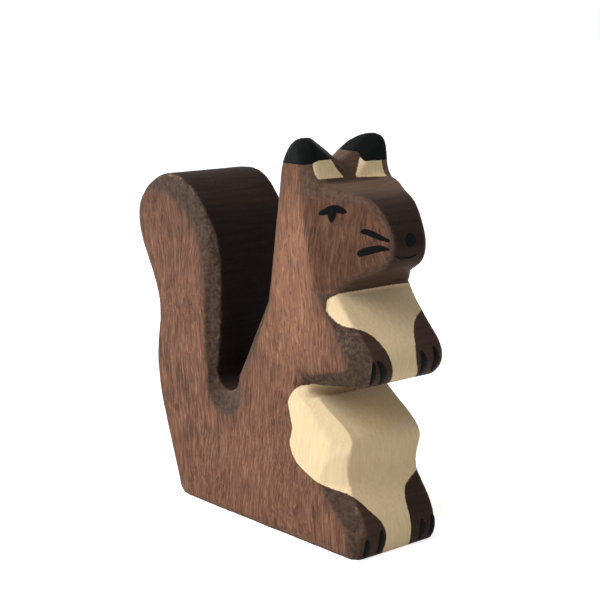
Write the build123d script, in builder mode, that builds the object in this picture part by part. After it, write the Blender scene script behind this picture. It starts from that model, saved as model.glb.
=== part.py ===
"""Squirrel figurine: one piece of board, sawn to a side outline and carved with a knife at its edges.

X runs forward to the nose, Y across the board and Z up from the flat base, so the right flank
faces -Y. The wood is one solid. Each black brush mark is a thin film of paint that lies on it.
"""
import os
from typing import NamedTuple

from build123d import *

# Board
board_thickness = 20.0

# Heights: the waist above the base, and each next mark of the front above the one before it
waist_height = 14.3
belly_rise = 5.3
crook_rise = 8.8
paw_rise = 6.0
neck_rise = 12.0
nose_rise = 8.8
crown_rise = 8.7
ear_rise = 8.7

# Heights of the back, above the base
heel_round_height = 2.2
nape_height = 42.6
gap_floor_height = 23.4
tail_front_height = 43.0
tail_hollow_height = 38.5
tail_height = 63.4

# Reaches along the board from the middle of the figure
nose_reach = 33.1
paw_reach = 33.0
neck_reach = 23.8
crook_reach = 16.9
belly_reach = 27.8
waist_reach = 26.9
toe_reach = 31.7
brow_reach = 19.5
ear_reach = 14.8
nape_reach = 5.8
gap_reach = 6.3
gap_width = 6.6
tail_reach = 33.2
heel_reach = 21.2
heel_round_length = 2.9

# Knife work
facet_depth = 1.3
tail_uncut_share = 0.7
snout_width = 8.4
brow_radius = 2.2
brow_overcut = 0.4
ear_tip_width = 3.1
groove_depth = 4.5
groove_floor_radius = 1.2
saddle_length = 3.1
saddle_lead = 0.5
flare_length = 4.0
rear_flare_drop = 2.6
front_flare_drop = 3.1

# Brush marks
paint_thickness = 0.15
ear_paint_depth = 4.6
ear_paint_rise = 1.2
eye_width = 4.8
lid_height = 1.4
lid_tip_height = 0.6
pupil_width = 1.8
pupil_drop = 1.2
whisker_setback = 1.8
whisker_length = 3.5
whisker_width = 0.9
whisker_bow = 0.2
upper_whisker_front_rise = 1.4
upper_whisker_rear_rise = 2.4
lower_whisker_front_drop = 0.4
lower_whisker_rear_drop = 1.5
nose_mark_width = 2.9
nose_mark_height = 2.4
nose_mark_rise = 0.9
mouth_width = 4.9
mouth_line = 0.5
mouth_sag = 0.6
mouth_drop = 2.0
claw_length = 3.4
claw_width = 0.9
claw_bow = 0.5
outer_claw_inset = 0.8
inner_claw_inset = 3.6
forepaw_claw_drop = 0.3
hind_claw_height = 2.3

# Room that a cutting solid has past the wood
margin = 1.0

half_board = board_thickness / 2
saw_line_y = half_board - facet_depth
front_reach = max(nose_reach, paw_reach, toe_reach) + margin
belly_height = waist_height + belly_rise
crook_height = belly_height + crook_rise
paw_height = crook_height + paw_rise
neck_height = paw_height + neck_rise
nose_height = neck_height + nose_rise
crown_height = nose_height + crown_rise
ear_height = crown_height + ear_rise
gap_front_x = -gap_reach + gap_width / 2
gap_rear_x = -gap_reach - gap_width / 2


class Mark(NamedTuple):
    """A point of the saw line, and the knife facet there.

    The facet's run from the point in over the flank is in facet depths, and uncut is the share of the
    facet's depth that stays sawn.
    """

    x: float
    z: float
    run_x: float
    run_z: float
    uncut: float = 0


def along(start, end, share):
    """The place at this share of the way from start to end."""
    return start + share * (end - start)


# Each of these places a mark on one stretch of the outline, by its shares of the way along and up
def on_belly(x_share, z_share):
    return along(belly_reach, crook_reach, x_share), along(belly_height, crook_height, z_share)


def under_paw(x_share, z_share):
    return along(crook_reach, paw_reach, x_share), along(crook_height, paw_height, z_share)


def on_jaw(x_share, z_share):
    return along(neck_reach, nose_reach, x_share), along(neck_height, nose_height, z_share)


def on_forehead(x_share, z_share):
    return along(nose_reach, brow_reach, x_share), along(nose_height, crown_height, z_share)


def on_ear(x_share, z_share):
    return along(brow_reach, ear_reach, x_share), along(crown_height, ear_height, z_share)


def on_nape(x_share, z_share):
    return along(ear_reach, nape_reach, x_share), along(ear_height, nape_height, z_share)


def on_tail(x_share, z_share):
    return along(gap_rear_x, -tail_reach, x_share), along(tail_front_height, tail_height, z_share)


heel = Mark(-heel_reach + heel_round_length, 0, 0.46, 0)
heel_back = Mark(-heel_reach, heel_round_height, 0.54, 0.31)
toe_base = Mark(along(toe_reach, waist_reach, 0.2), 0, -1.15, 0)
toe = Mark(toe_reach, 0.25 * waist_height, -1.31, -0.69)
instep = Mark(along(toe_reach, waist_reach, 0.25), 0.53 * waist_height, -3.0, -1.08)
waist = Mark(waist_reach, waist_height, -4.23, -0.46)
belly = Mark(belly_reach, belly_height, -3.38, 0)
belly_top = Mark(*on_belly(0.36, 0.47), -2.0, -0.62)
crook_low = Mark(*on_belly(0.81, 0.86), -2.08, -0.92)
crook = Mark(crook_reach, crook_height, -2.08, 0.62)
crook_high = Mark(*under_paw(0.105, 0.15), -0.15, 1.85)
paw_under = Mark(*under_paw(0.84, 0.405), -2.46, 2.08)
paw_tip = Mark(paw_reach, paw_height, -3.85, 0.31)
paw_top = Mark(along(paw_reach, neck_reach, 0.125), along(paw_height, neck_height, 0.27), -3.77, -0.62)
neck = Mark(neck_reach, neck_height, -2.85, -0.31)
chin = Mark(*on_jaw(0.51, 0.4), -0.46, 0.77)
lip = Mark(*on_jaw(0.895, 0.66), -0.77, 0.46)
nose = Mark(nose_reach, nose_height, -0.92, 0)
bridge = Mark(*on_forehead(0.075, 0.375), -0.85, -0.31)
forehead = Mark(*on_forehead(0.31, 0.82), -0.62, -0.69)
crown = Mark(*on_forehead(0.69, 1), -0.23, -0.92)
brow = Mark(*on_ear(0, 0.135), -2.0, -0.46)
ear_front = Mark(*on_ear(0.265, 0.53), -1.38, -0.23)
ear_brink = Mark(*on_ear(0.535, 0.92), -0.77, -0.77)
ear_tip = Mark(ear_reach, ear_height, -0.15, -1.0)
ear_back = Mark(*on_nape(0.4, 0.073), 0.92, -0.54)
nape_top = Mark(*on_nape(0.545, 0.2), 0.77, 0)
nape = Mark(nape_reach, nape_height, 1.31, -0.15)
gap_front = Mark(gap_front_x, gap_floor_height + 0.515 * gap_width, 2.0, -0.46)
gap_floor = Mark(-gap_reach, gap_floor_height, 0.54, -3.54)
gap_rear = Mark(gap_rear_x, gap_floor_height + 0.635 * gap_width, -1.0, -1.31)
tail_front = Mark(gap_rear_x + 0.18 * gap_width, tail_front_height, -2.92, 0.38)
tail_shoulder = Mark(*on_tail(0.085, 0.68), -3.85, -2.31, tail_uncut_share)
tail_tip = Mark(*on_tail(0.51, 1), -1.15, -4.0, tail_uncut_share)
tail_crest = Mark(*on_tail(0.93, 0.8), 0.46, -0.85)
tail_bulge = Mark(*on_tail(1, 0.6), 0.54, -0.08)
tail_hollow = Mark(along(-tail_reach, gap_rear_x, 0.26), tail_hollow_height, 0.54, 0)
tail_root = Mark(along(-tail_reach, gap_rear_x, 0.225), 0.72 * tail_hollow_height, 0.54, 0)
haunch = Mark(along(-heel_reach, -tail_reach, 0.28), 0.31 * tail_hollow_height, 0.54, 0.08)

face_marks = (neck, chin, lip, nose, bridge, forehead, crown, brow)
cheek_foot = (along(ear_reach, nose_reach, 0.28), along(paw_height, neck_height, 0.885))
cheek_top = on_ear(0.755, 0.495)
side_view = Plane.XZ.offset(half_board + margin)
front_view = Plane.YZ.offset(front_reach)


def section(side, share):
    """Outline at this share of the facet's depth on one side: the saw line at 0, the flat flank's edge at 1."""

    def at(*marks):
        cuts = [facet_depth * max(0, share - m.uncut) / (1 - m.uncut) for m in marks]
        return [(m.x + cut * m.run_x, m.z + cut * m.run_z) for m, cut in zip(marks, cuts)]

    with BuildSketch(Plane.XZ.offset(-side * (saw_line_y + share * facet_depth))) as outline:
        with BuildLine():
            Line(*at(heel, toe_base))
            Spline(*at(toe_base, toe, instep, waist, belly, belly_top, crook_low))
            ThreePointArc(*at(crook_low, crook, crook_high))
            Line(*at(crook_high, paw_under))
            Spline(*at(paw_under, paw_tip, paw_top))
            Line(*at(paw_top, neck))
            Spline(*at(*face_marks))
            Spline(*at(brow, ear_front, ear_brink, ear_tip, ear_back, nape_top))
            Line(*at(nape_top, nape))
            Line(*at(nape, gap_front))
            ThreePointArc(*at(gap_front, gap_floor, gap_rear))
            Spline(
                *at(gap_rear, tail_front, tail_shoulder, tail_tip, tail_crest, tail_bulge),
                *at(tail_hollow, tail_root, haunch, heel_back),
            )
            TangentArc(*at(heel, heel_back), tangent=(-1, 0))
        make_face()
    return outline.sketch


def cheek_plane(side):
    """Plane of one cheek, from its line on the flank in to the side of the nose, facing out."""
    foot = Vector(cheek_foot[0], side * half_board, cheek_foot[1])
    upward = Vector(cheek_top[0], side * half_board, cheek_top[1]) - foot
    forward = Vector(nose_reach, side * snout_width / 2, nose_height) - foot
    return Plane(foot, x_dir=forward, z_dir=forward.cross(upward) * -side)


def groove_section(x, drop):
    """Rounded V between the ears at x, with its floor lowered by drop."""
    floor = ear_height - groove_depth - drop
    top = ear_height + margin
    half_width = (top - floor) * (half_board - ear_tip_width) / groove_depth
    with BuildSketch(Plane.YZ.offset(x)) as vee:
        with BuildLine():
            FilletPolyline((-half_width, top), (0, floor), (half_width, top), radius=groove_floor_radius)
            Line((half_width, top), (-half_width, top))
        make_face()
    return vee.sketch


# The head inside its two cheeks, drawn a little over the saw line so that the knife's rounding
# of the brow and jaw runs out on the sawn face
with BuildPart() as rounded_head:
    with BuildSketch(side_view):
        with BuildLine():
            face = Spline(*[(m.x, m.z) for m in face_marks])
            throat = Line(face @ 0, face @ 0 - board_thickness * (face % 0))
            scalp = Line(face @ 1, face @ 1 + half_board * (face % 1))
            Line(throat @ 1, scalp @ 1)
        make_face()
        offset(amount=brow_overcut, kind=Kind.INTERSECTION)
    extrude(amount=-board_thickness - 2 * margin)
    for side in (-1, 1):
        split(bisect_by=cheek_plane(side), keep=Keep.BOTTOM)
    for side in (-1, 1):
        inner, outer = sorted((side * margin, side * half_board))
        fillet(rounded_head.edges().filter_by_position(Axis.Y, inner, outer), radius=brow_radius)

with BuildPart() as head_waste:
    with BuildSketch(side_view):
        with Locations((brow.x, neck_height)):
            Rectangle(nose_reach + margin - brow.x, brow.z - neck_height, align=Align.MIN)
    extrude(amount=-board_thickness - 2 * margin)
    add(rounded_head.part, mode=Mode.SUBTRACT)

with BuildPart() as cheek_waste:
    with BuildSketch(side_view):
        with Locations((0, neck_height)):
            Rectangle(nose_reach, ear_height + margin - neck_height, align=Align.MIN)
    extrude(amount=-half_board)
    split(bisect_by=cheek_plane(-1), keep=Keep.TOP)

# The groove between the ears: a saddle under the ear tips that flares down in front and behind
with BuildPart() as groove_waste:
    saddle_front = ear_reach + saddle_lead
    saddle_rear = saddle_front - saddle_length
    loft(
        [
            groove_section(saddle_rear - flare_length, rear_flare_drop),
            groove_section(saddle_rear, 0),
            groove_section(saddle_front, 0),
            groove_section(saddle_front + flare_length, front_flare_drop),
        ],
        ruled=True,
    )



def carved_board(shares):
    """The board with its facets, drawn through outlines at these shares of their depth, and its carved head."""
    with BuildPart() as board:
        extrude(section(-1, 0), amount=-2 * saw_line_y)
        for side in (-1, 1):
            loft([section(side, share) for share in shares], ruled=True)
        add(head_waste.part, mode=Mode.SUBTRACT)
        add(cheek_waste.part, mode=Mode.SUBTRACT)
        mirror(cheek_waste.part, about=Plane.XZ, mode=Mode.SUBTRACT)
        add(groove_waste.part, mode=Mode.SUBTRACT)
    return board.part


wooden_body = carved_board((0, tail_uncut_share, 1))

# The layers that the brush marks are cut from, up to one paint thickness over the wood
with BuildPart() as cheek_layer:
    add(cheek_waste.part)
    split(bisect_by=cheek_plane(-1).offset(paint_thickness), keep=Keep.BOTTOM)

painted_face = Pos(paint_thickness, 0, 0) * section(-1, 0)

with BuildPart() as front_layer:
    extrude(painted_face, amount=-2 * saw_line_y)

with BuildPart() as ear_zone:
    with BuildSketch(Plane.YZ):
        paint_line = ear_height - ear_paint_depth
        Polygon(
            (-half_board - margin, paint_line),
            (0, paint_line + ear_paint_rise),
            (0, ear_height + margin),
            (-half_board - margin, ear_height + margin),
            align=None,
        )
    extrude(amount=nose_reach)


def ear_film():
    """Paint over the whole tip of the right ear, drawn round a board whose facets are each one plain face."""
    with BuildPart() as film:
        add(carved_board((0, 1)))
        add(ear_zone.part, mode=Mode.INTERSECT)
        offset(amount=paint_thickness)
        add(ear_zone.part, mode=Mode.INTERSECT)
        add(wooden_body, mode=Mode.SUBTRACT)
    return film.part


def film_from(layer, outline, depth):
    """Paint on one layer inside an outline that is drawn this far in front of the middle."""
    with BuildPart() as film:
        extrude(outline, amount=-depth)
        add(layer.part, mode=Mode.INTERSECT)
        add(wooden_body, mode=Mode.SUBTRACT)
    return film.part


def cheek_film(outline):
    return film_from(cheek_layer, outline, half_board + margin)


def front_film(outline):
    return film_from(front_layer, outline, front_reach)


def eye_outline():
    """A long lid over a short pupil that hangs from it."""
    x, z = on_forehead(0.795, 0.59)
    half_eye = eye_width / 2
    half_pupil = pupil_width / 2
    tip_x = (half_eye + half_pupil) / 2
    tip_z = z - lid_tip_height / 2
    with BuildSketch(side_view) as outline:
        with BuildLine():
            ThreePointArc((x - half_eye, z), (x, z + lid_height), (x + half_eye, z))
            ThreePointArc((x + half_eye, z), (x + tip_x, tip_z), (x + half_pupil, z))
            ThreePointArc((x + half_pupil, z), (x, z - pupil_drop), (x - half_pupil, z))
            ThreePointArc((x - half_pupil, z), (x - tip_x, tip_z), (x - half_eye, z))
        make_face()
    return outline.sketch


def stroke(view, start, middle, end, width):
    """Brush stroke of even width along an arc."""
    path = ThreePointArc(start, middle, end)
    with BuildSketch(view) as outline:
        SlotArc(path, width)
    return outline.sketch


def whisker(front_rise, rear_rise):
    """Stroke back along the cheek, bowed up, with its ends raised this far over the nose."""
    front = Vector(nose_reach - whisker_setback, nose_height + front_rise)
    rear = Vector(front.X - whisker_length, nose_height + rear_rise)
    middle = (front + rear) / 2 + Vector(0, whisker_bow)
    return stroke(side_view, front, middle, rear, whisker_width)


def nose_outline():
    with BuildSketch(front_view) as outline:
        with Locations((0, nose_height + nose_mark_rise)):
            Ellipse(nose_mark_width / 2, nose_mark_height / 2)
    return outline.sketch


def mouth_outline():
    half = (mouth_width - mouth_line) / 2
    corner = nose_height - mouth_drop
    return stroke(front_view, (-half, corner), (0, corner - mouth_sag), (half, corner), mouth_line)


def claw_outline(inset, z):
    """Upright stroke on a right paw, bowed to the middle of the figure."""
    y = -saw_line_y + inset
    half = (claw_length - claw_width) / 2
    return stroke(front_view, (y, z + half), (y + claw_bow, z), (y, z - half), claw_width)


right_films = {
    "ear_tip": ear_film(),
    "eye": cheek_film(eye_outline()),
    "whisker_upper": cheek_film(whisker(upper_whisker_front_rise, upper_whisker_rear_rise)),
    "whisker_lower": cheek_film(whisker(-lower_whisker_front_drop, -lower_whisker_rear_drop)),
}
claw_heights = {"forepaw": paw_height - forepaw_claw_drop, "hind_paw": hind_claw_height}
claw_insets = {"inner": inner_claw_inset, "outer": outer_claw_inset}
for paw, claw_height in claw_heights.items():
    for place, inset in claw_insets.items():
        right_films[f"{paw}_claw_{place}"] = front_film(claw_outline(inset, claw_height))

pieces = {
    "wooden_body": wooden_body,
    "nose": front_film(nose_outline()),
    "mouth": front_film(mouth_outline()),
}
for name, film in right_films.items():
    pieces[f"{name}_right"] = film
    pieces[f"{name}_left"] = mirror(film, about=Plane.XZ)

os.makedirs("parts", exist_ok=True)
for name, piece in pieces.items():
    piece.label = name
    export_step(piece, f"parts/{name}.step")
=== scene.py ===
"""Looks of the squirrel figurine: carved wood, stained brown or left bare, and black brush marks on it.

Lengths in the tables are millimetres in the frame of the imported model: X forward to the nose, Y across
the board with the right flank at -Y, and Z up from the base.
"""

import bmesh
import bpy
import numpy as np
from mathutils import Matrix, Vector, noise
from mathutils.bvhtree import BVHTree


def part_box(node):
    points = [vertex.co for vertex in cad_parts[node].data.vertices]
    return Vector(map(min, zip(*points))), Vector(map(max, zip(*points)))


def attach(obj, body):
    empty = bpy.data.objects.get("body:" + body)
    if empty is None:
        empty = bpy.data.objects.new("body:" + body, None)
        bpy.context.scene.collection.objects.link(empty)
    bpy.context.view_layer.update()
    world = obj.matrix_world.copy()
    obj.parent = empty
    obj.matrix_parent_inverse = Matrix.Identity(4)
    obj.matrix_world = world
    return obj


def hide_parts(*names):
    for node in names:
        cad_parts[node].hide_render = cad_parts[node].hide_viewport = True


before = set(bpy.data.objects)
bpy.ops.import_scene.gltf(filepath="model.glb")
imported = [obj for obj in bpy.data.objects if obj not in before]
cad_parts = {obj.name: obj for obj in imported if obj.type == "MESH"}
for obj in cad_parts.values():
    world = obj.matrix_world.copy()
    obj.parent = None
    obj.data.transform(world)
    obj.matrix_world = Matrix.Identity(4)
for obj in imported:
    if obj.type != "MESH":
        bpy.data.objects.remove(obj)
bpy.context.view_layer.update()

MM = 0.001

# Carved wood
merge_gap = 0.002
voxel = 0.39
softening_rounds = 2
sanding_wave = 0.05
sanding_wave_length = 7.0
knife_wave = 0.05
knife_wave_length = 2.6
knife_wave_margin = 0.1
edge_wear_gain = 8
facet_blur_rounds = 1
mask_blur_rounds = 3
rim_blur_rounds = 40
scuff_blur_rounds = 20
flank_y = 10.0
saw_line_y = 8.7
cheek_corners = (Vector((19.9, 10.0, 45.0)), Vector((15.95, 10.0, 68.2)), Vector((33.1, 4.2, 55.2)))

# Three flat knife cuts down the edge of the belly: a point on each at the left flank, and its direction
belly_cuts = (
    (Vector((16.5, 9.9, 26.4)), Vector((0.384, 0.807, 0.448))),
    (Vector((23.2, 10.0, 20.0)), Vector((0.233, 0.972, 0.02))),
    (Vector((21.1, 10.0, 12.7)), Vector((0.29, 0.94, -0.15))),
)
belly_cut_foot = (11.0, 12.5)
belly_cut_top = (26.6, 28.4)
belly_cut_back = 14.0
belly_cut_facing = (0.5, 0.85)
belly_cut_share = {-1: 1.0, 1: 0.25}
belly_front_x = 20.0
belly_front_z = (11.0, 28.0)
belly_front_half = 7.6
belly_round_rounds = 40

# Places where the edges are left a little fuller: the middle, the reach and how far each stands out
fuller_places = (
    (Vector((24.5, 8.0, 47.2)), 2.4, Vector((0.65, 0.4, 0.0))),
    (Vector((21.8, 7.4, 64.6)), 3.0, Vector((0.4, 0.15, 0.6))),
    (Vector((17.1, 8.6, 71.8)), 2.0, Vector((0.15, 0.05, 0.12))),
    (Vector((-18.0, 8.0, 62.4)), 4.5, Vector((0.2, 0.05, 0.45))),
    (Vector((-32.0, -9.5, 58.5)), 4.5, Vector((-0.45, 0.0, 0.15))),
)

# Border of the bare belly on the flank, as x and z, from the crook of the arm down to the hind foot
belly_flank = [(17.4, 29.2), (14.9, 28.3), (12.8, 25.6), (13.3, 22.8), (13.8, 20.6), (13.2, 17.5),
               (14.9, 14.7), (18.4, 12.9), (22.2, 11.8), (27.4, 11.3)]

# How much higher that border runs at its lower end on the left flank
belly_left_rise = 1.3
belly_left_rise_z = (19, 15)

# Borders of the dark paws, the bare chest and the bare inner ears on the front, as y and z
hind_paw_right = [(-10.2, 11.6), (-8.7, 11.2), (-7.2, 9.9), (-5.9, 8.2), (-4.3, 6.3), (-3.6, 4.3),
                  (-3.6, 2.1), (-3.8, 0.9)]
hind_paw_left = [(10.2, 12.9), (8.5, 12.4), (5.6, 11.2), (3.8, 10.1), (2.7, 8.0), (2.6, 6.0), (2.7, 1.0)]
forepaw_right = [(-8.7, 41.2), (-7.0, 40.5), (-5.6, 39.4), (-4.7, 37.6), (-4.0, 35.2), (-3.5, 33.4),
                 (-2.5, 31.3)]
forepaw_left = [(8.7, 42.1), (6.4, 41.2), (4.4, 39.8), (2.8, 37.7), (2.0, 35.6), (2.4, 33.5), (3.9, 31.3)]
chest_tip = [(-8.2, 46.45), (-9.1, 45.8), (-9.6, 44.4), (-9.75, 42.8), (-9.3, 41.4), (-8.7, 41.2)]
ear_patch_right = [(-8.8, 70.0), (-8.8, 67.4), (-8.55, 65.8), (-2.5, 65.75), (-4.1, 67.8), (-5.2, 70.0)]
ear_patch_left = [(3.05, 68.65), (1.75, 67.15), (0.4, 65.55), (7.1, 65.3), (7.45, 70.0), (5.0, 70.0),
                  (3.9, 68.75)]

# Limits of the bare areas beyond their drawn borders
belly_top_z = 29.6
above_belly_z = 30.0
chest_back_x = 20
chest_foot_z = 29.8
below_chest_z = 28.0
ear_patch_back_x = 15.5
ear_patch_facing = 0.3

# Depth of the stain up the front of the head, partly painted shade that eases the lit brow into the darker
# front: heights, and from 0 for light to 2 for black
face_stain_and_shade = ((50, 53, 55, 56.3, 57.5, 58.5, 59.5, 61, 62, 62.7, 63.3, 63.9, 64.5),
              (0.8, 1.2, 1.65, 1.9, 1.5, 1.6, 1.65, 1.4, 1.2, 1.02, 0.85, 0.47, 0.32))

# Parts of the figure, by where they begin or end
head_x = 14
head_z = 46.5
groove_x = (10, 20)
groove_half = 7
groove_z = 62
toe_x = 28
paw_x = 15
paw_edge_x = 20
left_paw_z = 15
under_arm_x = 13
under_arm_z = (28, 33)

# Edge of the flat flank under the arm: places along x, and how far out the flank ends there
under_arm_rim = ((14, 15, 17, 20, 23), (9.0, 9.4, 9.65, 9.87, flank_y))

# Oval places on the flank: the middle and the reach, as x and z
gap_bottom = ((1, 26), (7, 5))
wrist = ((26.3, 39), (2.4, 2.2))
shoulder = ((13, 47), (8, 17))
haunch = ((3, 12), (12, 9))

# Spread of each finish: where it begins and where it is full, as a place or as a share
spread = {
    "flank_facing": (0.12, 0.4),
    "cheek_facing": (0.95, 0.985),
    "groove_facing": (0.2, 0.45),
    "toes_y": (9.6, 9.3),
    "toes_z": (5, 4),
    "toe_corner_x": (27.8, 28.5),
    "toe_corner_z": (6, 5),
    "ear_front_x": (-0.2, 0.4),
    "ear_front_z": (61, 63.5),
    "ear_z": (62, 65),
    "tail_x": (6, 1),
    "tail_tip_z": (50, 58),
    "tail_bend_back": (-21, -18),
    "tail_bend_front": (-9, -11.5),
    "tail_bend_z": (50, 55),
    "plume_x": (0, -8),
    "plume_z": (47, 58),
    # Painted shade in the gap between the back and the tail: where it begins and where it is full
    "gap_shade_front": (9.5, 8),
    "gap_shade_back": (-13, -10),
    "gap_shade_foot": (22, 26),
    "gap_shade_top": (62, 54),
    "rim": (0.04, 0.22),
    "near_saw": (0.08, 0.42),
    "saw_edge_outside": (0.15, 0.4),
    "saw_edge_inside": (0.85, 0.6),
    "rubbed_paw_z": (3, 6),
    "scuff_z": (2, 6),
}
facet_depth = (0.03, 0.14)

# Strength of each finish
soak_share = {
    "tail_tip": 0.7,
    "groove": 0.45,
    "groove_front": 0.4,
    "paws": 0.95,
    "left_paw": 0.5,
    "halo": 0.7,
    "ear": 0.35,
    "plume": 0.5,
    "cheek": 0.5,
}
gap_bottom_rubbed = 0.55
rubbed_share = 0.65
haunch_thin = 0.35
saw_scuff = 0.6
wrist_scuff = 0.9

# Brush marks
paint_height = 0.07
paint_root = 0.12
paint_sink = 0.015
stroke_row = 0.1
stroke_least_rows = 12
stroke_strips = 10
stroke_look = 0.05
stroke_half = 0.58
stroke_least_half = 0.01
stroke_wobble = 0.12
stroke_wobble_rate = 1.3
crown_half = 0.25
ear_cut_z = 66
ear_paint_z = {-1: 68.15, 1: 68.05}
ear_paint_rise = {-1: 0.75, 1: 0.0}
ear_paint_rise_y = (9.9, 7.5)
ear_paint_wobble = 0.1
ear_paint_sink = 0.01
groove_paint_rise = {-1: 0.9, 1: 1.75}
groove_paint_front = {-1: (17.3, 16.0), 1: (18.4, 15.8)}
groove_paint_facing = (0.15, 0.5)
groove_paint_y = (7, 5)

# Brush strokes on each cheek: the line as x and z, and the widths along it
eye_lid = ([(19.7, 60.0), (20.4, 60.25), (21.3, 60.6), (22.2, 60.95), (23.1, 61.0), (24.0, 60.8),
            (24.8, 60.6)],
           (0.45, 0.9, 1.2, 1.35, 1.25, 0.95, 0.5))
pupil = ([(22.2, 60.9), (22.15, 59.8), (22.1, 58.7)], (1.8, 1.5, 0.8))
upper_whisker = ([(31.0, 56.7), (30.0, 57.05), (28.8, 57.45), (27.4, 57.6)], (0.35, 0.75, 0.95, 0.95, 0.75))
lower_whisker = ([(31.0, 54.9), (29.8, 54.6), (28.5, 54.2), (27.0, 53.6)], (0.4, 0.95, 1.2, 1.2, 0.95))

# Tips of the whiskers by the nose, which differ from side to side
whisker_tip_x = {-1: 32.5, 1: 31.9}
upper_tip_z = 56.2
lower_tip_z = 54.85

# Brush strokes on the front: the line as y and z, and the widths along it
before_nose_x = 50
nose_stroke = ([(0.2, 57.35), (0.2, 54.8)], (2.2, 2.6, 2.4))
mouth_stroke = ([(-3.1, 53.5), (-1.4, 53.0), (0.5, 52.9), (2.0, 53.3)], (0.16, 0.3, 0.3, 0.16))
claw_widths = (0.5, 1.0, 1.15, 1.1, 0.8)
narrow_claw = 0.65
claw_lines = {
    "forepaw_claw_outer_right": [(-8.2, 35.9), (-8.2, 34.7), (-8.1, 33.4), (-7.7, 31.8)],
    "forepaw_claw_inner_right": [(-7.2, 35.9), (-6.5, 35.0), (-5.9, 33.9), (-5.3, 32.7), (-4.8, 31.3)],
    "forepaw_claw_inner_left": [(3.4, 36.1), (3.8, 35.0), (4.1, 33.9), (4.3, 32.9), (4.7, 31.5)],
    "forepaw_claw_outer_left": [(6.6, 36.4), (6.9, 35.4), (7.0, 34.4), (7.0, 33.4), (7.3, 31.8)],
    "hind_paw_claw_outer_right": [(-8.2, 3.9), (-8.0, 2.2), (-8.1, 0.4)],
    "hind_paw_claw_inner_right": [(-4.6, 4.8), (-4.6, 3.0), (-4.8, 0.6)],
    "hind_paw_claw_inner_left": [(5.5, 4.6), (5.7, 2.8), (5.6, 0.6)],
    "hind_paw_claw_outer_left": [(8.1, 4.9), (8.3, 3.2), (8.1, 1.0)],
}

# Upright grain: cells per millimetre along x, y and z, then detail and roughness of the noise
grain_noise = {
    "Bands": ((0.42, 0.42, 0.04), 3, 0.55),
    "Streaks": ((1.9, 1.9, 0.11), 4, 0.65),
    "Fibres": ((3.2, 3.2, 0.28), 3, 0.65),
    "Pores": ((3.4, 3.4, 0.5), 2, 0.6),
}
pore_range = (0.54, 0.68)
drift_cells = 0.045
drift_reach = 9

# Stretched noise of the mottled stain, its bleeding borders, the saw marks and the brush, in the same order
mottle_noise = ((0.5, 0.5, 0.12), 3, 0.55)
bleed_noise = ((3.2, 3.2, 0.5), 3, 0.6)
saw_noise = ((1.5, 0.1, 1.5), 3, 0.6)
brush_noise = ((2.2, 2.2, 0.5), 3, 0.6)

# Even noise of blotches, knife cuts, pale specks of painted glint and worn edges: cells per millimetre,
# detail and roughness
blotch_noise = (0.35, 4, 0.65)
speckle_noise = (1.3, 5, 0.68)
glint_speck_noise = (1.7, 4, 0.75)
wear_noise = (0.55, 4, 0.7)

# Gloss and relief, the relief in metres
dull_gloss = 0.05
wood_relief = 0.00012
paint_relief = 0.0001
relief_strength = 0.4

# Studio: places and sizes in metres, the lens in millimetres
white = (1, 1, 1, 1)
sky_light = 0.27
floor_half = 3
floor_grey = 0.85
floor_roughness = 0.9
floor_glow = 0.78
lamp_aim = Vector((0, 0, 0.035))
lamp_distance = 0.75
lens_length = 89.76
sensor_width = 36
near_clip = 0.01
camera_place = (0.21031, -0.17937, 0.09523)
camera_direction = Vector((-0.740, 0.645, -0.1935))

# Lamps: name, direction from the figure, size and power
lamps = (
    ("left_softbox", Vector((-0.82, -0.57, 0.02)), 0.45, 5.6),
    ("overhead_softbox", Vector((-0.05, -0.67, 0.74)), 0.6, 4.2),
)


def colour(red, green, blue):
    """Colour from 0 to 255 per channel, as a screen shows it, for a shader's socket."""

    def linear(value):
        value /= 255
        return value / 12.92 if value <= 0.04045 else ((value + 0.055) / 1.055) ** 2.4

    return (linear(red), linear(green), linear(blue), 1)


# Stain on the flanks
stain_dark = colour(79, 54, 42)
stain_light = colour(135, 96, 76)
stain_band = colour(108, 74, 61)
stain_thin = colour(158, 113, 88)
stain_fleck = colour(178, 132, 102)
stain_pore = colour(62, 41, 32)
stain_soaked = colour(62, 44, 33)
mottle_dark = colour(78, 54, 44)
mottle_light = colour(154, 110, 88)
bleed_brown = colour(80, 48, 36)

# Stain on sawn faces and knife cuts, most as a darker and a lighter brown. The black also serves as painted
# shade in the gap before the tail and below the brow, and the pale speck brown is a painted glint
sawn_light = (colour(111, 90, 76), colour(134, 110, 94))
sawn_dark = (colour(58, 42, 35), colour(70, 52, 43))
sawn_black_and_shade = (colour(30, 22, 19), colour(38, 29, 25))
rim_brown = (colour(82, 65, 56), colour(110, 90, 77))
cut_brown = (colour(50, 40, 34), colour(82, 67, 57))
scuffed_brown = (colour(60, 49, 43), colour(114, 98, 87))
# Painted glint on knife facets and sharp edges
glint_speck_brown = colour(150, 130, 112)
worn_brown = colour(160, 130, 104)

# Bare wood and paint
bare_cream = (colour(240, 217, 176), colour(231, 205, 161))
bare_fibre = colour(214, 182, 136)
paint_black = (colour(7, 8, 9), colour(15, 16, 17))


def smooth_step(low, high, values):
    """0 up to low, 1 from high on, and a smooth rise between them."""
    share = np.clip((values - low) / (high - low), 0, 1)
    return share * share * (3 - 2 * share)


def eased(finish, values):
    """0 where a finish begins and 1 where it is full, by its spread."""
    return smooth_step(*spread[finish], values)


def in_place(x, z, place):
    """1 in the middle of an oval place on the flank, and 0 far from it."""
    middle, reach = place
    return np.exp(-(((x - middle[0]) / reach[0]) ** 2 + ((z - middle[1]) / reach[1]) ** 2))


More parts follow.
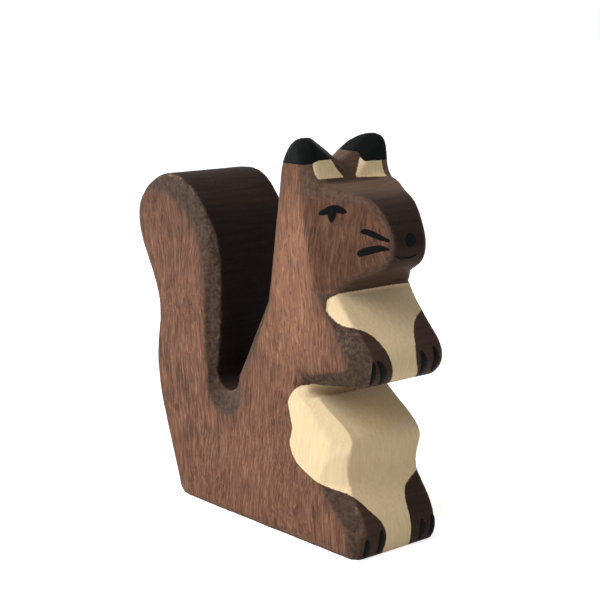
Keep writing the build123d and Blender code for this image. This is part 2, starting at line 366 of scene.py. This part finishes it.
def flowing(points, steps=10):
    """Smooth line through the points, as an array of points."""
    points = [Vector(p) for p in points]
    ends = [2 * points[0] - points[1], *points, 2 * points[-1] - points[-2]]
    line = []
    for before, start, end, after in zip(ends, ends[1:], ends[2:], ends[3:]):
        for step in range(steps):
            t = step / steps
            bend = (2 * before - 5 * start + 4 * end - after) * t
            bend += (3 * (start - end) + after - before) * t * t
            line.append(start + 0.5 * t * (end - before + bend))
    return np.array([*line, points[-1]])


def signed_distance(spots, outline):
    """Distance of each spot from a closed outline, above 0 inside."""
    nearest = np.full(len(spots), np.inf)
    inside = np.zeros(len(spots), bool)
    for start, end in zip(outline, np.roll(outline, -1, axis=0)):
        edge = end - start
        length = edge @ edge
        if length == 0:
            continue
        share = np.clip((spots - start) @ edge / length, 0, 1)
        gap = spots - start - share[:, None] * edge
        nearest = np.minimum(nearest, np.hypot(gap[:, 0], gap[:, 1]))
        crosses = (start[1] > spots[:, 1]) != (end[1] > spots[:, 1])
        with np.errstate(divide="ignore", invalid="ignore"):
            x = start[0] + (spots[:, 1] - start[1]) / edge[1] * edge[0]
        inside ^= crosses & (spots[:, 0] < x)
    return np.where(inside, nearest, -nearest)


def new_piece(name, bm, material, slot, *nodes):
    """Object made of a bmesh, which rides on the figure and stands for these nodes."""
    mesh = bpy.data.meshes.new(name)
    bm.to_mesh(mesh)
    bm.free()
    mesh.shade_smooth()
    mesh.materials.append(material)
    piece = bpy.data.objects.new(name, mesh)
    bpy.context.scene.collection.objects.link(piece)
    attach(piece, "root")
    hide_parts(*nodes)
    return piece


class Shader:
    """Short way to add linked nodes to a material or a node group."""

    def __init__(self, tree):
        self.tree = tree

    def node(self, kind, inputs=None, **settings):
        made = self.tree.nodes.new(kind)
        for key, value in settings.items():
            setattr(made, key, value)
        for key, value in (inputs or {}).items():
            self.put(value, made.inputs[key])
        return made

    def put(self, value, socket):
        if isinstance(value, bpy.types.NodeSocket):
            self.tree.links.new(value, socket)
        else:
            socket.default_value = value

    def math(self, operation, *values, clamp=False):
        made = self.node("ShaderNodeMath", operation=operation, use_clamp=clamp)
        for socket, value in zip(made.inputs, values):
            self.put(value, socket)
        return made.outputs[0]

    def mix(self, share, first, second):
        made = self.node("ShaderNodeMix", data_type="RGBA")
        for index, value in ((0, share), (6, first), (7, second)):
            self.put(value, made.inputs[index])
        return made.outputs[2]

    def range(self, value, low, high, to_low=0.0, to_high=1.0):
        made = self.node("ShaderNodeMapRange", interpolation_type="SMOOTHSTEP")
        for index, number in enumerate((value, low, high, to_low, to_high)):
            self.put(number, made.inputs[index])
        return made.outputs[0]

    def scaled(self, vector, *scale):
        made = self.node("ShaderNodeVectorMath", operation="MULTIPLY")
        self.put(vector, made.inputs[0])
        self.put(scale, made.inputs[1])
        return made.outputs[0]

    def noise(self, vector, scale, detail, roughness):
        inputs = {"Vector": vector, "Scale": scale, "Detail": detail, "Roughness": roughness}
        return self.node("ShaderNodeTexNoise", inputs).outputs[0]

    def stretched(self, vector, cells, detail, roughness):
        """Noise with a cell size of its own along x, y and z."""
        return self.noise(self.scaled(vector, *cells), 1, detail, roughness)

    def attribute(self, name):
        return self.node("ShaderNodeAttribute", attribute_name=name).outputs["Fac"]

    def seen(self):
        """1 where the camera sees the surface, also reflected or through glass, and 0 for other light."""
        rays = self.node("ShaderNodeLightPath").outputs
        reflected = self.math("MAXIMUM", rays["Is Glossy Ray"], rays["Is Transmission Ray"])
        return self.math("MAXIMUM", rays["Is Camera Ray"], reflected)

    def place(self):
        """Place on the figure, in millimetres."""
        return self.scaled(self.node("ShaderNodeTexCoord").outputs["Object"], 1 / MM, 1 / MM, 1 / MM)


def grain_group():
    """Upright grain of a fine-pored wood: broad bands, streaks, fibres and dark pores."""
    tree = bpy.data.node_groups.new("upright_grain", "ShaderNodeTree")
    for name in grain_noise:
        tree.interface.new_socket(name, in_out="OUTPUT", socket_type="NodeSocketFloat")
    shader = Shader(tree)
    place = shader.place()
    drift = shader.node("ShaderNodeTexNoise", {"Vector": place, "Scale": drift_cells, "Detail": 1.0})
    drift = shader.scaled(drift.outputs["Color"], drift_reach, drift_reach, 0)
    place = shader.node("ShaderNodeVectorMath", {0: place, 1: drift}, operation="ADD").outputs[0]
    patterns = {name: shader.stretched(place, *pattern) for name, pattern in grain_noise.items()}
    patterns["Pores"] = shader.range(patterns["Pores"], *pore_range)
    ends = shader.node("NodeGroupOutput")
    for name, value in patterns.items():
        shader.put(value, ends.inputs[name])
    return tree


def wood_material(grain):
    """Pale wood, with a brown stain that soaks into sawn faces and knife cuts, and ends at the bare areas.
    Painted shade darkens the sawn faces in the gap before the tail and below the brow, and pale specks on
    knife facets and edges are painted glints.
    """
    material = bpy.data.materials.new("stained_and_bare_wood")
    material.use_nodes = True
    shader = Shader(material.node_tree)
    surface = material.node_tree.nodes["Principled BSDF"]
    place = shader.place()
    figure = shader.node("ShaderNodeGroup", node_tree=grain).outputs
    bands, streaks, fibres, pores = (figure[name] for name in grain_noise)
    sawn = shader.attribute("sawn")
    facet = shader.attribute("facet")
    stain_and_shade = shader.attribute("stain_and_shade")
    thin = shader.attribute("thin")
    edge = shader.attribute("edge")

    brown = shader.mix(shader.range(streaks, 0.34, 0.66), stain_dark, stain_light)
    brown = shader.mix(shader.range(bands, 0.36, 0.64, 0, 0.5), brown, stain_band)
    brown = shader.mix(shader.range(thin, 0, 1, 0, 0.6), brown, stain_thin)
    light = shader.math("MULTIPLY", shader.range(fibres, 0.5, 0.7), shader.range(thin, 0, 1, 0.5, 1.0))
    light = shader.math("MULTIPLY", light, shader.range(stain_and_shade, 0, 0.6, 1, 0.5))
    brown = shader.mix(light, brown, stain_fleck)
    brown = shader.mix(shader.math("MULTIPLY", pores, 0.6), brown, stain_pore)
    mottle = shader.stretched(place, *mottle_noise)
    brown = shader.mix(shader.range(mottle, 0.42, 0.66, 0, 0.2), brown, mottle_dark)
    brown = shader.mix(shader.range(mottle, 0.5, 0.34, 0, 0.2), brown, mottle_light)
    blotches = shader.range(shader.noise(place, *blotch_noise), 0.35, 0.65, 0.6, 1.4)
    flank_soak = shader.math("MULTIPLY", shader.math("MULTIPLY", stain_and_shade, 0.6), blotches, clamp=True)
    brown = shader.mix(flank_soak, brown, stain_soaked)

    across = shader.range(shader.stretched(place, *saw_noise), 0.3, 0.7)
    # Sawn faces darken with the depth of the stain; past 1 the black stands for deep stain on the tail's end
    # grain and for painted shade in the gap and below the brow
    sawn_brown = shader.mix(stain_and_shade, shader.mix(across, *sawn_light), shader.mix(across, *sawn_dark))
    blackened_and_shaded = shader.math("SUBTRACT", stain_and_shade, 1.0, clamp=True)
    sawn_brown = shader.mix(blackened_and_shaded, sawn_brown, shader.mix(across, *sawn_black_and_shade))
    brown = shader.mix(sawn, brown, sawn_brown)

    speckle = shader.noise(place, *speckle_noise)
    on_rim = shader.math("MULTIPLY", shader.attribute("rim"), 0.8)
    brown = shader.mix(on_rim, brown, shader.mix(shader.range(speckle, 0.34, 0.68), *rim_brown))
    cut = shader.mix(shader.range(speckle, 0.34, 0.66), *cut_brown)
    scuffed = shader.mix(shader.range(speckle, 0.4, 0.64), *scuffed_brown)
    cut = shader.mix(shader.attribute("scuff"), cut, scuffed)
    brown = shader.mix(shader.math("MULTIPLY", facet, 0.92), brown, cut)
    # Painted glints: pale specks on the knife facets and sharp edges, where the rough cut wood would sparkle
    glint_specks = shader.range(shader.noise(place, *glint_speck_noise), 0.62, 0.72)
    glinting_places = shader.math("MAXIMUM", facet, shader.math("MULTIPLY", edge, 0.8))
    glint_specks = shader.math("MULTIPLY", glint_specks, glinting_places)
    brown = shader.mix(shader.math("MULTIPLY", glint_specks, 0.45), brown, glint_speck_brown)
    worn = shader.range(shader.noise(place, *wear_noise), 0.52, 0.68)
    worn = shader.math("MULTIPLY", worn, shader.range(edge, 0.3, 0.9, 0, 0.55))
    brown = shader.mix(worn, brown, worn_brown)

    cream = shader.mix(shader.range(streaks, 0.3, 0.7), *bare_cream)
    cream = shader.mix(shader.range(fibres, 0.52, 0.75, 0, 0.4), cream, bare_fibre)

    bleed = shader.math("SUBTRACT", shader.stretched(place, *bleed_noise), 0.5)
    border = shader.math("MULTIPLY_ADD", bleed, 0.4, shader.attribute("bare"))
    bare = shader.range(border, -0.07, 0.07)
    brown = shader.mix(shader.range(border, -0.6, -0.05, 0, 0.35), brown, bleed_brown)

    shader.put(shader.mix(bare, brown, cream), surface.inputs["Base Color"])
    shader.put(shader.range(fibres, 0.3, 0.7, 0.55, 0.66), surface.inputs["Roughness"])
    surface.inputs["Specular IOR Level"].default_value = dull_gloss
    height = shader.math("MULTIPLY_ADD", pores, -0.6, fibres)
    height = shader.math("MULTIPLY_ADD", shader.math("MULTIPLY", speckle, facet), 1.2, height)
    bump = {"Strength": relief_strength, "Distance": wood_relief, "Height": height}
    shader.put(shader.node("ShaderNodeBump", bump).outputs[0], surface.inputs["Normal"])
    return material


def paint_material(grain):
    """Dull black paint that shows the brush and, faintly, the grain under it."""
    material = bpy.data.materials.new("black_brush_paint")
    material.use_nodes = True
    shader = Shader(material.node_tree)
    surface = material.node_tree.nodes["Principled BSDF"]
    place = shader.place()
    fibres = shader.node("ShaderNodeGroup", node_tree=grain).outputs["Fibres"]
    brushed = shader.stretched(place, *brush_noise)
    black = shader.mix(shader.range(brushed, 0.35, 0.7), *paint_black)
    shader.put(black, surface.inputs["Base Color"])
    shader.put(shader.range(brushed, 0.3, 0.7, 0.53, 0.66), surface.inputs["Roughness"])
    surface.inputs["Specular IOR Level"].default_value = dull_gloss
    height = shader.math("MULTIPLY_ADD", brushed, 1.5, fibres)
    bump = {"Strength": relief_strength, "Distance": paint_relief, "Height": height}
    shader.put(shader.node("ShaderNodeBump", bump).outputs[0], surface.inputs["Normal"])
    return material


def remeshed(bm):
    """The same closed shape in even small quads."""
    mesh = bpy.data.meshes.new("even_quads")
    bm.to_mesh(mesh)
    bm.free()
    blank = bpy.data.objects.new("even_quads", mesh)
    bpy.context.scene.collection.objects.link(blank)
    remesh = blank.modifiers.new("even_quads", "REMESH")
    remesh.mode = "VOXEL"
    remesh.voxel_size = voxel * MM
    shape = blank.evaluated_get(bpy.context.evaluated_depsgraph_get()).to_mesh()
    fine = bmesh.new()
    fine.from_mesh(shape)
    bpy.data.objects.remove(blank)
    return fine


def carve_belly(bm):
    """Cuts the edges of the belly into three flats at both sides, and rounds its front between them."""
    for vert in bm.verts:
        spot = vert.co / MM
        side = 1 if spot.y > 0 else -1
        if spot.x < belly_cut_back or not belly_cut_foot[0] < spot.z < belly_cut_top[1]:
            continue
        depth = flank_y
        for point, outward in belly_cuts:
            depth = min(depth, point.y - ((spot - point) * Vector((1, 0, 1))).dot(outward) / outward.y)
        share = belly_cut_share[side]
        share *= smooth_step(*belly_cut_foot, spot.z) * (1 - smooth_step(*belly_cut_top, spot.z))
        if depth > abs(spot.y):
            share *= smooth_step(*belly_cut_facing, abs(vert.normal.y))
        vert.co.y += (side * depth - spot.y) * share * MM
    foot, top = belly_front_z
    front = [v for v in bm.verts if v.co.x > belly_front_x * MM and foot * MM < v.co.z < top * MM]
    front = [v for v in front if abs(v.co.y) < belly_front_half * MM]
    for _ in range(belly_round_rounds):
        bmesh.ops.smooth_vert(bm, verts=front, factor=0.5, use_axis_x=True, use_axis_z=True)


def fill_out(bm):
    """Lets the edges stand out a little in the fuller places."""
    spots = np.array([vert.co for vert in bm.verts]) / MM
    for middle, reach, push in fuller_places:
        share = np.exp(-((spots - np.array(middle)) ** 2).sum(axis=1) / reach**2)
        spots += share[:, None] * np.array(push)
    for vert, spot in zip(bm.verts, spots):
        vert.co = spot * MM


def soften(bm):
    """Rounds the knife edges a little."""
    axes = {"use_axis_x": True, "use_axis_y": True, "use_axis_z": True}
    for _ in range(softening_rounds):
        bmesh.ops.smooth_vert(bm, verts=bm.verts, factor=0.5, **axes)
    bm.normal_update()


def make_uneven(bm):
    """Gives the sanded and the cut faces their slight waves, inside the sawn box."""
    low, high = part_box("wooden_body")
    for vert in bm.verts:
        spot = vert.co / MM
        wave = sanding_wave * noise.noise(spot / sanding_wave_length)
        if saw_line_y < abs(spot.y) < flank_y - knife_wave_margin:
            wave += knife_wave * noise.noise(spot / knife_wave_length)
        vert.co += vert.normal * wave * MM
        vert.co = [min(max(place, least), most) for place, least, most in zip(vert.co, low, high)]


def edge_wear(bm):
    """How sharply each vertex stands out, from 0 on a flat face to 1 on a knife edge."""
    sharp = []
    for vert in bm.verts:
        others = [edge.other_vert(vert).co for edge in vert.link_edges]
        middle = sum(others, Vector()) / len(others)
        sharp.append((vert.co - middle).dot(vert.normal) / (voxel * MM))
    return np.clip(np.array(sharp) * edge_wear_gain, 0, 1)


def bare_areas(spots, normals):
    """Distance in from the border of the nearest bare area, in millimetres, below 0 on stained wood."""
    x, y, z = spots.T
    far = 60.0
    side = spots[:, [0, 2]]
    on_left = smooth_step(saw_line_y, flank_y, y)
    side[:, 1] -= belly_left_rise * on_left * smooth_step(*belly_left_rise_z, z)
    front = spots[:, [1, 2]]
    (_, crook_z), (foot_x, _) = belly_flank[0], belly_flank[-1]
    flank_edge = np.array([*flowing(belly_flank), (foot_x, -far), (far, -far), (far, crook_z)])
    paw_edge = np.array([
        (-far, hind_paw_right[0][1]), *flowing(hind_paw_right), (hind_paw_right[-1][0], -far),
        (hind_paw_left[-1][0], -far), *flowing(hind_paw_left)[::-1], (far, hind_paw_left[0][1]),
        (far, above_belly_z), (-far, above_belly_z),
    ])
    belly = np.minimum(signed_distance(side, flank_edge), signed_distance(front, paw_edge))
    belly = np.where(z < belly_top_z, belly, -far)
    left_tip = [(-across, up) for across, up in chest_tip]
    chest_edge = np.array([
        *flowing(chest_tip), *flowing(forepaw_right), (forepaw_right[-1][0], below_chest_z),
        (forepaw_left[-1][0], below_chest_z), *flowing(forepaw_left)[::-1], *flowing(left_tip)[::-1],
    ])
    chest = signed_distance(front, chest_edge)
    chest = np.where((x > chest_back_x) & (z > chest_foot_z), chest, -far)
    patches = (np.array(ear_patch_right), np.array(ear_patch_left))
    ears = np.maximum(*(signed_distance(front, patch) for patch in patches))
    ears = np.where((x > ear_patch_back_x) & (normals[:, 0] > ear_patch_facing), ears, -far)
    return np.maximum.reduce([belly, chest, ears])


def blurred(values, edges, rounds):
    """Values per vertex, evened out between neighbours."""
    count = np.bincount(edges.ravel(), minlength=len(values))
    for _ in range(rounds):
        around = np.bincount(edges[:, 0], values[edges[:, 1]], len(values))
        around += np.bincount(edges[:, 1], values[edges[:, 0]], len(values))
        values = 0.5 * values + 0.5 * around / count
    return values


def surface_marks(bm):
    """The wood's finish per vertex: bare areas, sawn faces, knife facets, depth of the stain with painted
    shade, worn edges.
    """
    spots = np.array([vert.co for vert in bm.verts]) / MM
    normals = np.array([vert.normal for vert in bm.verts])
    bm.verts.index_update()
    edges = np.array([[vert.index for vert in edge.verts] for edge in bm.edges])
    x, y, z = spots.T
    outward = np.abs(y)
    across = np.abs(normals[:, 1])
    head = (x > head_x) * (z > head_z)

    # Sawn faces, with the groove between the ears and the fronts of the toes
    groove = (outward < groove_half) * (z > groove_z) * (x > groove_x[0]) * (x < groove_x[1])
    toes = eased("toes_y", outward) * eased("toes_z", z) * (x > toe_x)
    sawn = np.maximum.reduce([1 - eased("flank_facing", across), groove, toes])
    stained = 1 - sawn
    saw_edge = blurred(sawn, edges, mask_blur_rounds)
    near_saw = eased("near_saw", blurred(sawn, edges, scuff_blur_rounds))

    # Cheeks, and the grey rim round the head
    foot, top, tip = cheek_corners
    cheek = np.array((tip - foot).cross(top - foot).normalized())
    cheek_facing = np.abs(np.column_stack([normals[:, 0], across, normals[:, 2]]) @ cheek)
    cheek = eased("cheek_facing", cheek_facing) * head
    past_crease = x - np.interp(z, [foot.z, top.z], [foot.x, top.x])
    ear_front = eased("ear_front_x", past_crease) * eased("ear_front_z", z)
    rim = eased("rim", blurred(sawn, edges, rim_blur_rounds))
    rim = np.maximum(rim, ear_front) * head * stained

    # Knife facets along the edges, rubbed at the bottom of the gap before the tail
    under_arm = (x > under_arm_x) & (z > under_arm_z[0]) & (z < under_arm_z[1])
    rim_y = np.where(under_arm, np.interp(x, *under_arm_rim), flank_y)
    facet = smooth_step(rim_y - facet_depth[0], rim_y - facet_depth[1], outward) * (1 - head)
    toe_corner = eased("toe_corner_x", x) * eased("toe_corner_z", z)
    facet = np.maximum(facet, toe_corner) * stained
    facet *= 1 - gap_bottom_rubbed * in_place(x, z, gap_bottom)

    # Depth of the stain, with painted shade added on the sawn faces in the gap before the tail and up the
    # front of the head
    tail = sawn * eased("tail_x", x) * (1 + soak_share["tail_tip"] * eased("tail_tip_z", z))
    # Painted shade: the sawn faces that face each other across the gap between back and tail are darkened
    gap = sawn * eased("gap_shade_front", x) * eased("gap_shade_back", x) * eased("gap_shade_foot", z) * eased("gap_shade_top", z)
    in_groove = soak_share["groove"] + soak_share["groove_front"] * eased("groove_facing", normals[:, 0])
    # Stain up the front of the head, with painted shade that eases the lit brow into the darker front
    face = np.where(groove, in_groove, sawn * head * np.interp(z, *face_stain_and_shade))
    paws = sawn * (x > paw_x) * (z < head_z) * soak_share["paws"]
    # The left hind paw's sawn front is made darker than the right one's
    left_paw = soak_share["left_paw"] * sawn * (y > 0) * (z < left_paw_z) * (x > paw_x)
    halo = soak_share["halo"] * blurred(facet, edges, rim_blur_rounds) * (1 - facet) * stained
    ear = soak_share["ear"] * eased("ear_z", z) * stained
    plume = soak_share["plume"] * eased("plume_z", z) * eased("plume_x", x) * stained
    stain_and_shade = tail + gap + face + (paws + left_paw) + halo + ear + plume + soak_share["cheek"] * cheek
    thin = in_place(x, z, shoulder) * (1 - cheek)
    thin += haunch_thin * in_place(x, z, haunch)

    # Worn edges and scuffs
    tail_bend = eased("tail_bend_back", x) * eased("tail_bend_front", x) * eased("tail_bend_z", z)
    rubbed_head = rubbed_share * head
    rubbed_paws = rubbed_share * (x > paw_edge_x) * (z < head_z) * eased("rubbed_paw_z", z)
    rubbed = eased("saw_edge_outside", saw_edge) * eased("saw_edge_inside", saw_edge)
    rubbed *= np.maximum.reduce([tail_bend, rubbed_head, rubbed_paws])
    scuff = np.maximum(saw_scuff * near_saw * eased("scuff_z", z), wrist_scuff * in_place(x, z, wrist))
    return {
        "bare": bare_areas(spots, normals),
        "sawn": sawn,
        "rim": blurred(rim, edges, mask_blur_rounds) * stained,
        "facet": blurred(facet, edges, facet_blur_rounds) * stained,
        "stain_and_shade": blurred(stain_and_shade, edges, mask_blur_rounds),
        "thin": blurred(thin, edges, mask_blur_rounds),
        "scuff": scuff,
        "edge": np.maximum(edge_wear(bm), rubbed),
    }


def wooden_body(material):
    """The carved body, with its finish as one value of each kind per vertex."""
    bm = bmesh.new()
    bm.from_mesh(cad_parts["wooden_body"].data)
    bmesh.ops.remove_doubles(bm, verts=bm.verts, dist=merge_gap * MM)
    bm = remeshed(bm)
    bm.normal_update()
    carve_belly(bm)
    fill_out(bm)
    soften(bm)
    finish = surface_marks(bm)
    make_uneven(bm)
    piece = new_piece("carved_wooden_body", bm, material, "stained_wood", "wooden_body")
    for name, values in finish.items():
        layer = piece.data.attributes.new(name, "FLOAT", "POINT")
        layer.data.foreach_set("value", values.astype(np.float32))
    return piece


def brush_stroke(bm, wood, points, widths, cast):
    """Adds one stroke of paint that lies on the wood along a line, which cast() throws onto it."""
    line = flowing(points)
    steps = np.cumsum([0, *np.hypot(*np.diff(line, axis=0).T)])
    length = steps[-1]

    def along(here):
        return np.array([np.interp(here, steps, line[:, axis]) for axis in (0, 1)])

    rows = max(stroke_least_rows, int(length / stroke_row))
    made = bmesh.ops.create_grid(bm, x_segments=rows, y_segments=stroke_strips, size=0.5)
    stations = np.linspace(0, length, len(widths))
    for vert in made["verts"]:
        share, side = vert.co.x + 0.5, vert.co.y * 2
        here = share * length
        step = along(here + stroke_look) - along(here - stroke_look)
        tangent = step / np.hypot(*step)
        half = stroke_half * np.interp(here, stations, widths)
        rest = min(here, length - here) / (0.5 * max(widths))
        half *= max(1 - max(1 - rest, 0) ** 2, stroke_least_half) ** 0.5
        wobble = noise.noise((here * stroke_wobble_rate, side * 2 + points[0][0], points[0][1]))
        half *= 1 + stroke_wobble * wobble
        spot = along(here) + np.array((-tangent[1], tangent[0])) * side * half
        place, normal = cast(wood, spot)
        crown = (1 - side * side) * min(1, half / crown_half)
        vert.co = place + normal * MM * (paint_height * crown - paint_sink)
    faces = list({face for vert in made["verts"] for face in vert.link_faces})
    outward = cast(wood, line[len(line) // 2])[1]
    # One face's normal is renewed, whichever comes first, so one quad can differ from run to run
    faces[0].normal_update()
    if sum((face.calc_area() * face.normal for face in faces), Vector()).dot(outward) < 0:
        bmesh.ops.reverse_faces(bm, faces=faces)
    bmesh.ops.solidify(bm, geom=faces, thickness=paint_root * MM)


def on_cheek(side):
    """Throws x and z of a mark onto the flank or cheek at that side."""

    def cast(wood, spot):
        start = Vector((spot[0], side * 2 * flank_y, spot[1])) * MM
        place, normal, *_ = wood.ray_cast(start, Vector((0, -side, 0)))
        return place, normal

    return cast


def on_front(wood, spot):
    """Throws y and z of a mark onto the front."""
    place, normal, *_ = wood.ray_cast(Vector((before_nose_x, *spot)) * MM, Vector((-1, 0, 0)))
    return place, normal


def marks(name, wood, material, strokes, cast, node):
    """One piece of paint made of these strokes, each a line and its widths."""
    bm = bmesh.new()
    for points, widths in strokes:
        brush_stroke(bm, wood, points, widths, cast)
    bmesh.ops.recalc_face_normals(bm, faces=bm.faces)
    return new_piece(name, bm, material, "black_paint", node)


def ear_tip(body, material, side, node):
    """Paint over the whole tip of one ear, down to a hand-drawn line that rises on the groove's wall."""
    bm = bmesh.new()
    bm.from_mesh(body.data)
    away = [v for v in bm.verts if v.co.z < ear_cut_z * MM or v.co.y * side < 0]
    bmesh.ops.delete(bm, geom=away, context="VERTS")
    bm.normal_update()
    lift = bm.verts.layers.float.new("lift")
    for vert in bm.verts:
        spot = vert.co / MM
        inward = smooth_step(*ear_paint_rise_y, side * spot.y)
        groove = smooth_step(*groove_paint_facing, -side * vert.normal.y)
        groove *= smooth_step(*groove_paint_y, side * spot.y)
        groove *= smooth_step(*groove_paint_front[side], spot.x)
        line = ear_paint_z[side] + ear_paint_rise[side] * inward + groove_paint_rise[side] * groove
        line += ear_paint_wobble * noise.noise((spot.x, spot.y, 0))
        vert[lift] = line * MM
        vert.co.z -= line * MM
    everything = [*bm.verts, *bm.edges, *bm.faces]
    bmesh.ops.bisect_plane(bm, geom=everything, plane_co=(0, 0, 0), plane_no=(0, 0, -1), clear_outer=True)
    for vert in bm.verts:
        vert.co.z += vert[lift]
    bm.normal_update()
    for vert in bm.verts:
        vert.co += vert.normal * MM * (-ear_paint_sink if vert.is_boundary else paint_height)
    bmesh.ops.solidify(bm, geom=bm.faces[:], thickness=paint_root * MM)
    bmesh.ops.recalc_face_normals(bm, faces=bm.faces)
    return new_piece(node + "_paint", bm, material, "black_paint", node)


def brush_marks(body, material):
    """All the black paint: eyes, whiskers and ear tips at each side, then nose, mouth and claws."""
    bm = bmesh.new()
    bm.from_mesh(body.data)
    wood = BVHTree.FromBMesh(bm)
    bm.free()
    for side, word in ((-1, "right"), (1, "left")):
        tip_x = whisker_tip_x[side]
        cheek_marks = {
            "eye": [eye_lid, pupil],
            "whisker_upper": [([(tip_x, upper_tip_z), *upper_whisker[0]], upper_whisker[1])],
            "whisker_lower": [([(tip_x, lower_tip_z), *lower_whisker[0]], lower_whisker[1])],
        }
        for mark, strokes in cheek_marks.items():
            marks(f"{mark}_{word}_paint", wood, material, strokes, on_cheek(side), f"{mark}_{word}")
        ear_tip(body, material, side, f"ear_tip_{word}")
    marks("nose_paint", wood, material, [nose_stroke], on_front, "nose")
    marks("mouth_paint", wood, material, [mouth_stroke], on_front, "mouth")
    for node, line in claw_lines.items():
        broad = narrow_claw if node == "forepaw_claw_outer_right" else 1
        widths = tuple(broad * width for width in claw_widths)
        marks(f"{node}_paint", wood, material, [(line, widths)], on_front, node)


def studio():
    """White floor and background, soft lamps at the camera's left and overhead, and an even sky."""
    scene = bpy.context.scene
    scene.view_settings.view_transform = "Standard"
    world = bpy.data.worlds.new("even_sky")
    scene.world = world
    world.use_nodes = True
    sky = Shader(world.node_tree)
    background = world.node_tree.nodes["Background"]
    background.inputs["Color"].default_value = white
    sky.put(sky.range(sky.seen(), 0, 1, sky_light, 1.0), background.inputs["Strength"])

    bm = bmesh.new()
    bmesh.ops.create_grid(bm, x_segments=2, y_segments=2, size=floor_half)
    mesh = bpy.data.meshes.new("pale_floor")
    bm.to_mesh(mesh)
    bm.free()
    floor = bpy.data.objects.new("pale_floor", mesh)
    scene.collection.objects.link(floor)
    material = bpy.data.materials.new("pale_floor")
    material.use_nodes = True
    mesh.materials.append(material)
    shader = Shader(material.node_tree)
    surface = material.node_tree.nodes["Principled BSDF"]
    surface.inputs["Base Color"].default_value = (floor_grey, floor_grey, floor_grey, 1)
    surface.inputs["Roughness"].default_value = floor_roughness
    surface.inputs["Emission Color"].default_value = white
    shader.put(shader.math("MULTIPLY", shader.seen(), floor_glow), surface.inputs["Emission Strength"])

    for name, direction, size, power in lamps:
        lamp = bpy.data.lights.new(name, "AREA")
        lamp.shape = "RECTANGLE"
        lamp.size = size
        lamp.size_y = size
        lamp.energy = power
        softbox = bpy.data.objects.new(name, lamp)
        softbox.location = lamp_aim + lamp_distance * direction.normalized()
        softbox.rotation_euler = (-direction).to_track_quat("-Z", "Y").to_euler()
        scene.collection.objects.link(softbox)

    lens = bpy.data.cameras.new("camera")
    lens.lens = lens_length
    lens.sensor_width = sensor_width
    lens.clip_start = near_clip
    camera = bpy.data.objects.new("camera", lens)
    camera.location = camera_place
    camera.rotation_euler = camera_direction.to_track_quat("-Z", "Y").to_euler()
    scene.collection.objects.link(camera)
    scene.camera = camera


grain = grain_group()
body = wooden_body(wood_material(grain))
brush_marks(body, paint_material(grain))
studio()
